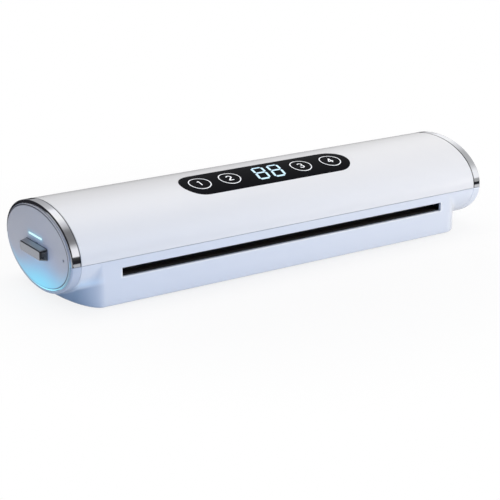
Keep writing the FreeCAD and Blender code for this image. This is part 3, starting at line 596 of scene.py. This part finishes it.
def satin_disc():
    """Satin plate, drawn fine along Y, lit in cyan and blue from its lower edge and round the lit bar."""
    finish, tree, shader = new_finish("satin_disc", Metallic=0.1, Emission_Strength=1.0)
    drawn = grain(tree, 0.25 * mm, stretch=(1.0, 30.0, 1.0))
    plate = blend_colours(tree, drawn, (0.66, 0.65, 0.68), (0.73, 0.72, 0.75))
    glow = calc(tree, "ADD", edge_glow(tree, glow_height), calc(tree, "MULTIPLY", bar_halo(tree), 0.3))
    # painted shade: a dark line round the disc a little inside its edge, shining faintly blue where the disc
    # is lit
    groove = groove_shade_line(tree)
    dark = calc(tree, "MAXIMUM", groove, pin_shade(tree))
    colour = blend_colours(tree, glow, plate, (0.22, 0.32, 0.38))
    feed(tree, shader.inputs["Base Color"], blend_colours(tree, dark, colour, (0.03, 0.03, 0.04)))
    feed(tree, shader.inputs["Roughness"], remap(tree, drawn, 0.2, 0.8, 0.34, 0.46))
    wash = blend_colours(tree, edge_glow(tree, wash_height), no_light, (0.0, 0.035, 0.19))
    shine = blend_colours(tree, glow, wash, (0.14, 0.54, 0.74))
    groove_shine = blend_colours(tree, glow, no_light, (0.0, 0.05, 0.13))
    feed(tree, shader.inputs["Emission Color"], blend_colours(tree, groove, shine, groove_shine))
    raise_grain(tree, shader, drawn, 0.004 * mm)
    return finish


def ring_light():
    """Lit light-guide plastic that is bright along the bottom of the disc and dies away to both sides."""
    finish, tree, shader = new_finish("ring_light", Roughness=0.3)
    glow = bell(tree, calc(tree, "SUBTRACT", places(tree)[1], ring_brightest_y), ring_reach)
    feed(tree, shader.inputs["Base Color"], blend_colours(tree, glow, (0.50, 0.52, 0.58), unlit_guide))
    tint = blend_colours(tree, grain(tree, 8 * mm), (0.26, 0.80, 1.0), (0.36, 0.86, 1.0))
    feed(tree, shader.inputs["Emission Color"], tint)
    feed(tree, shader.inputs["Emission Strength"], calc(tree, "MULTIPLY", glow, 1.25))
    return finish


# One finish per material slot; a textured one has two colours, a span of roughness, a grain and its relief
finishes = {
    # the lid's white has painted shade at its joint with the chrome ends
    "white_shell": gloss_white("lid_white", (0.81, 0.815, 0.828), (0.825, 0.83, 0.842), painted_seam_shade),
    "chrome": chrome_plate(),
    "satin_silver": satin_disc(),
    "panel_black": textured(
        "panel_film", (0.005, 0.005, 0.006), (0.008, 0.008, 0.010), (0.34, 0.42), 0.3 * mm, 0.002 * mm,
        Specular_IOR_Level=0.01),
    "key_black": textured(
        "key_film", (0.005, 0.005, 0.006), (0.009, 0.009, 0.011), (0.34, 0.42), 0.3 * mm, 0.002 * mm,
        Specular_IOR_Level=0.01),
    "glow_light": ring_light(),
    "lit_bar": lit("bar_guide", (0.55, 0.92, 1.0), (0.70, 0.96, 1.0), 1.1, 3 * mm),
    "digit_light": lit("digit_guide", (0.50, 0.78, 0.95), (0.68, 0.88, 1.0), 1.0, 2 * mm),
    "bottom_grey": textured(
        "bottom_moulding", (0.60, 0.61, 0.63), (0.68, 0.69, 0.71), (0.5, 0.62), 0.5 * mm, 0.02 * mm),
    "module_black": textured(
        "black_moulding", (0.018, 0.018, 0.020), (0.032, 0.032, 0.035), (0.42, 0.55), 0.5 * mm, 0.01 * mm),
    "board_green": textured(
        "board_mask", (0.012, 0.090, 0.045), (0.020, 0.130, 0.065), (0.30, 0.42), 1.5 * mm, 0.01 * mm),
    "foam_black": textured(
        "cell_foam", (0.012, 0.012, 0.013), (0.035, 0.035, 0.037), (0.75, 0.9), 0.6 * mm, 0.08 * mm),
    "silicone_grey": textured(
        "hose_silicone", (0.50, 0.50, 0.50), (0.60, 0.60, 0.60), (0.35, 0.45), 1.0 * mm, 0.01 * mm,
        Subsurface_Weight=0.1, Subsurface_Scale=2 * mm),
    "strip_black": textured(
        "strip_silicone", (0.016, 0.016, 0.018), (0.026, 0.026, 0.028), (0.5, 0.6), 0.8 * mm, 0.01 * mm),
    "tray_grey": textured(
        "dark_moulding", (0.020, 0.020, 0.022), (0.034, 0.034, 0.037), (0.40, 0.52), 0.6 * mm, 0.012 * mm),
    "cover_grey": textured(
        "light_moulding", (0.56, 0.57, 0.59), (0.63, 0.64, 0.66), (0.45, 0.56), 0.6 * mm, 0.015 * mm),
    "acetal_white": textured(
        "acetal", (0.70, 0.70, 0.67), (0.76, 0.76, 0.73), (0.36, 0.46), 1.2 * mm, 0.006 * mm),
    "steel": textured(
        "zinc_steel", (0.48, 0.49, 0.50), (0.60, 0.61, 0.62), (0.26, 0.40), 0.7 * mm, 0.004 * mm,
        Metallic=1.0),
    "heater_black": textured(
        "heater_moulding", (0.016, 0.016, 0.018), (0.028, 0.028, 0.030), (0.5, 0.65), 0.5 * mm, 0.01 * mm),
    "strip_metal": textured(
        "resistance_strip", (0.42, 0.40, 0.38), (0.52, 0.50, 0.47), (0.25, 0.40), 0.4 * mm, 0.003 * mm,
        stretch=(20.0, 1.0, 1.0), Metallic=1.0),
    "tape_dark": textured(
        "glass_cloth_tape", (0.022, 0.017, 0.014), (0.050, 0.040, 0.033), (0.40, 0.58), 0.35 * mm, 0.03 * mm),
    "core_iron": textured(
        "laminations", (0.06, 0.06, 0.065), (0.14, 0.14, 0.15), (0.40, 0.60), 0.5 * mm, 0.05 * mm,
        stretch=(1.0, 40.0, 40.0), Metallic=0.7),
    "pin_brass": textured(
        "plated_pins", (0.62, 0.50, 0.28), (0.72, 0.60, 0.36), (0.22, 0.34), 0.6 * mm, 0.002 * mm,
        Metallic=1.0),
    "rubber_foot": textured(
        "foot_rubber", (0.018, 0.018, 0.018), (0.034, 0.034, 0.034), (0.65, 0.8), 0.5 * mm, 0.02 * mm),
}
# Painted light: the base gets a darker, bluer copy of the lid's white, which paints cool light onto it
painted_cool_base_white = gloss_white("painted_cool_base_white", (0.705, 0.75, 0.828), (0.72, 0.765, 0.842), base_painted_light_and_shade, base_spill)
own_finishes = {"base_housing": painted_cool_base_white, "lock_lever": lever_chrome()}
for row in frame["record"]["subparts"]:
    for socket in frame["nodes"][row["node"]].material_slots:
        socket.material = own_finishes.get(row["node"], finishes[row["material_slot"]])

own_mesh(frame["nodes"]["return_springs"])

for end_name, end in plinth_ends.items():
    surface_piece(f"{end_name}_plinth_blend", [plinth_blend(*end)], "base", painted_cool_base_white)

# the printed ink also has a faint painted glow, which brightens it as light would
white_ink_painted_glow = textured(
    "white_ink_painted_glow", (0.78, 0.79, 0.80), (0.86, 0.86, 0.87), (0.5, 0.6), 0.4 * mm, 0.003 * mm,
    Emission_Color=(0.9, 0.95, 1.0, 1.0), Emission_Strength=0.3)
for number, (x, paths) in enumerate(zip(key_x, numerals), start=1):
    marks = [key_ring(x)] + [printed_stroke(x, path) for path in paths]
    surface_piece(f"key_print_{number}", marks, f"key_{number}", white_ink_painted_glow)


# Studio

def soft_lamp(name, place, aim, size, power, colour):
    """A rectangular soft box at place, turned to aim, that mirrors don't show."""
    lamp = bpy.data.lights.new(name, "AREA")
    lamp.shape = "RECTANGLE"
    lamp.size, lamp.size_y = size
    lamp.energy = power
    lamp.color = colour
    box = bpy.data.objects.new(name, lamp)
    box.location = place
    box.rotation_euler = (Vector(aim) - Vector(place)).to_track_quat("-Z", "Y").to_euler()
    box.visible_glossy = False
    bpy.context.scene.collection.objects.link(box)


def stage_sheet(name, rows, finish):
    """A surface round the object from a grid of points."""
    points = rows.shape[1]
    corner = np.arange(points * (len(rows) - 1)).reshape(-1, points)[:, :-1].ravel()
    faces = np.stack([corner, corner + 1, corner + points + 1, corner + points], axis=1)
    mesh = bpy.data.meshes.new(name)
    mesh.from_pydata(rows.reshape(-1, 3).tolist(), [], faces.tolist())
    mesh.materials.append(finish)
    sheet = bpy.data.objects.new(name, mesh)
    bpy.context.scene.collection.objects.link(sheet)


def mirror_room(tree):
    """What polished pieces mirror of the room: bands of grey about the bar.

    They are dark to the left, and paler and higher to the right. x, y and z are those of the mirrored
    direction, so x runs from -1 at the left to 1 at the right.
    """
    x, y, z = places(tree, "Generated")
    angle = calc(tree, "ARCTAN2", z, calc(tree, "MULTIPLY", y, -1.0))
    squeeze = remap(tree, x, 0.53, 0.64, 1.0, 0.86)
    bands = tree.nodes.new("ShaderNodeValToRGB")
    feed(tree, bands.inputs[0], calc(tree, "MULTIPLY", squeeze, calc(tree, "DIVIDE", angle, math.pi)))
    stops = bands.color_ramp.elements
    for degrees, _ in room_greys[1:-1]:
        stops.new(degrees / 180)
    for stop, (_, grey) in zip(stops, room_greys):
        stop.color = (grey, grey, min(grey * room_blue, 1.0), 1.0)
    paler = blend_colours(tree, remap(tree, x, 0.45, 0.66, 0.0, 0.35), bands.outputs[0], (1.0, 1.0, 1.0))
    return blend_colours(tree, falling(tree, x, -0.05, 0.28), paler, mirrored_dark)


def mirror_floor(tree):
    """What polished pieces mirror of the floor: grey, but dark in front, by the lever and behind the bar.

    The limits are places on the floor, in metres.
    """
    x, y, _ = places(tree)
    front = falling(tree, y, -0.235, -0.185)
    strip = calc(
        tree, "MULTIPLY", remap(tree, y, -0.17, -0.16), falling(tree, y, -0.085, -0.075),
        falling(tree, x, -0.160, -0.152))
    behind = calc(tree, "MULTIPLY", remap(tree, y, 0.12, 0.20), remap(tree, x, -0.21, -0.19))
    far_behind = remap(tree, y, 0.187, 0.193)
    dark = calc(tree, "MAXIMUM", front, strip, behind, far_behind)
    pale = blend_colours(tree, remap(tree, x, -0.12, 0.0), (0.46, 0.47, 0.50), (0.62, 0.62, 0.64))
    return blend_colours(tree, dark, pale, mirrored_dark)


def ray_kinds(tree):
    """1 where the surface is seen directly, and 1 where a polished piece mirrors it."""
    path = tree.nodes.new("ShaderNodeLightPath")
    seen = calc(tree, "MAXIMUM", path.outputs["Is Camera Ray"], path.outputs["Is Transmission Ray"])
    return seen, path.outputs["Is Glossy Ray"]


def mixed(tree, share, first, second):
    """A shader between two others."""
    mix = tree.nodes.new("ShaderNodeMixShader")
    feed(tree, mix.inputs[0], share)
    tree.links.new(first.outputs[0], mix.inputs[1])
    tree.links.new(second.outputs[0], mix.inputs[2])
    return mix


def pale_world(fill_strength, left_fill, right_fill):
    """Soft fill that is weaker from the left, white behind the object, and the room that mirrors show."""
    world = bpy.data.worlds.new("pale_world")
    world.use_nodes = True
    tree = world.node_tree
    fill = tree.nodes["Background"]
    from_right = remap(tree, places(tree, "Generated")[0], -0.7, 0.4)
    feed(tree, fill.inputs["Color"], blend_colours(tree, from_right, left_fill, right_fill))
    fill.inputs["Strength"].default_value = fill_strength
    white = tree.nodes.new("ShaderNodeBackground")
    white.inputs["Color"].default_value = (1.0, 1.0, 1.0, 1.0)
    room = tree.nodes.new("ShaderNodeBackground")
    feed(tree, room.inputs["Color"], mirror_room(tree))
    seen, in_mirror = ray_kinds(tree)
    shown = mixed(tree, in_mirror, mixed(tree, seen, fill, white), room)
    tree.links.new(shown.outputs[0], tree.nodes["World Output"].inputs["Surface"])
    bpy.context.scene.world = world


def pale_floor():
    """A round pale floor that keeps a soft shadow near the object and fades into the white round it."""
    angle = np.linspace(0, 2 * math.pi, floor_points)
    radius = np.array(floor_radii)[:, None]
    rows = np.stack(np.broadcast_arrays(radius * np.cos(angle), radius * np.sin(angle), 0.0), axis=2)
    finish, tree, paper = new_finish(
        "floor_paper", Roughness=0.9, Specular_IOR_Level=0.1, Base_Color=(0.90, 0.90, 0.90, 1.0))
    x, y, _ = places(tree)
    white = tree.nodes.new("ShaderNodeEmission")
    mirrored = tree.nodes.new("ShaderNodeEmission")
    feed(tree, mirrored.inputs["Color"], mirror_floor(tree))
    seen, in_mirror = ray_kinds(tree)
    fade = remap(tree, length(tree, x, y), *floor_fade, least_white, 1.0)
    share = calc(tree, "MULTIPLY", fade, seen)
    shown = mixed(tree, in_mirror, mixed(tree, share, paper, white), mirrored)
    tree.links.new(shown.outputs[0], tree.nodes["Material Output"].inputs["Surface"])
    stage_sheet("floor", rows[::-1], finish)


def photo_camera():
    """The camera at the photograph's place."""
    level = math.cos(camera_drop)
    forward = Vector((math.sin(camera_turn) * level, math.cos(camera_turn) * level, -math.sin(camera_drop)))
    right = Vector((math.cos(camera_turn), -math.sin(camera_turn), 0.0))
    lens = bpy.data.cameras.new("camera")
    lens.sensor_width = 36.0
    lens.lens = lens.sensor_width * focal_pixels / frame_pixels
    lens.clip_start, lens.clip_end = 0.05, 20.0
    camera = bpy.data.objects.new("camera", lens)
    axes = Matrix((right, right.cross(forward), -forward)).transposed()
    camera.matrix_world = Matrix.Translation(camera_place) @ axes.to_4x4()
    bpy.context.scene.collection.objects.link(camera)
    bpy.context.scene.camera = camera


pale_world(fill_strength=0.63, left_fill=(0.52, 0.58, 0.68), right_fill=(1.0, 0.99, 1.0))
pale_floor()
soft_lamp("top_box", (0.1, 0.4, 1.5), (0.0, 0.0, 0.03), (1.4, 1.0), 11.8, (1.0, 0.95, 0.89))
soft_lamp("right_box", (0.9, -1.05, 0.12), (0.1, 0.0, 0.03), (0.6, 0.4), 9.0, (1.0, 0.93, 0.85))
soft_lamp("cool_box", (-0.7, -1.0, 0.20), (-0.1, 0.0, 0.03), (0.6, 0.3), 2.2, (0.0, 0.36, 1.0))
photo_camera()
bpy.context.scene.view_settings.view_transform = "Standard"
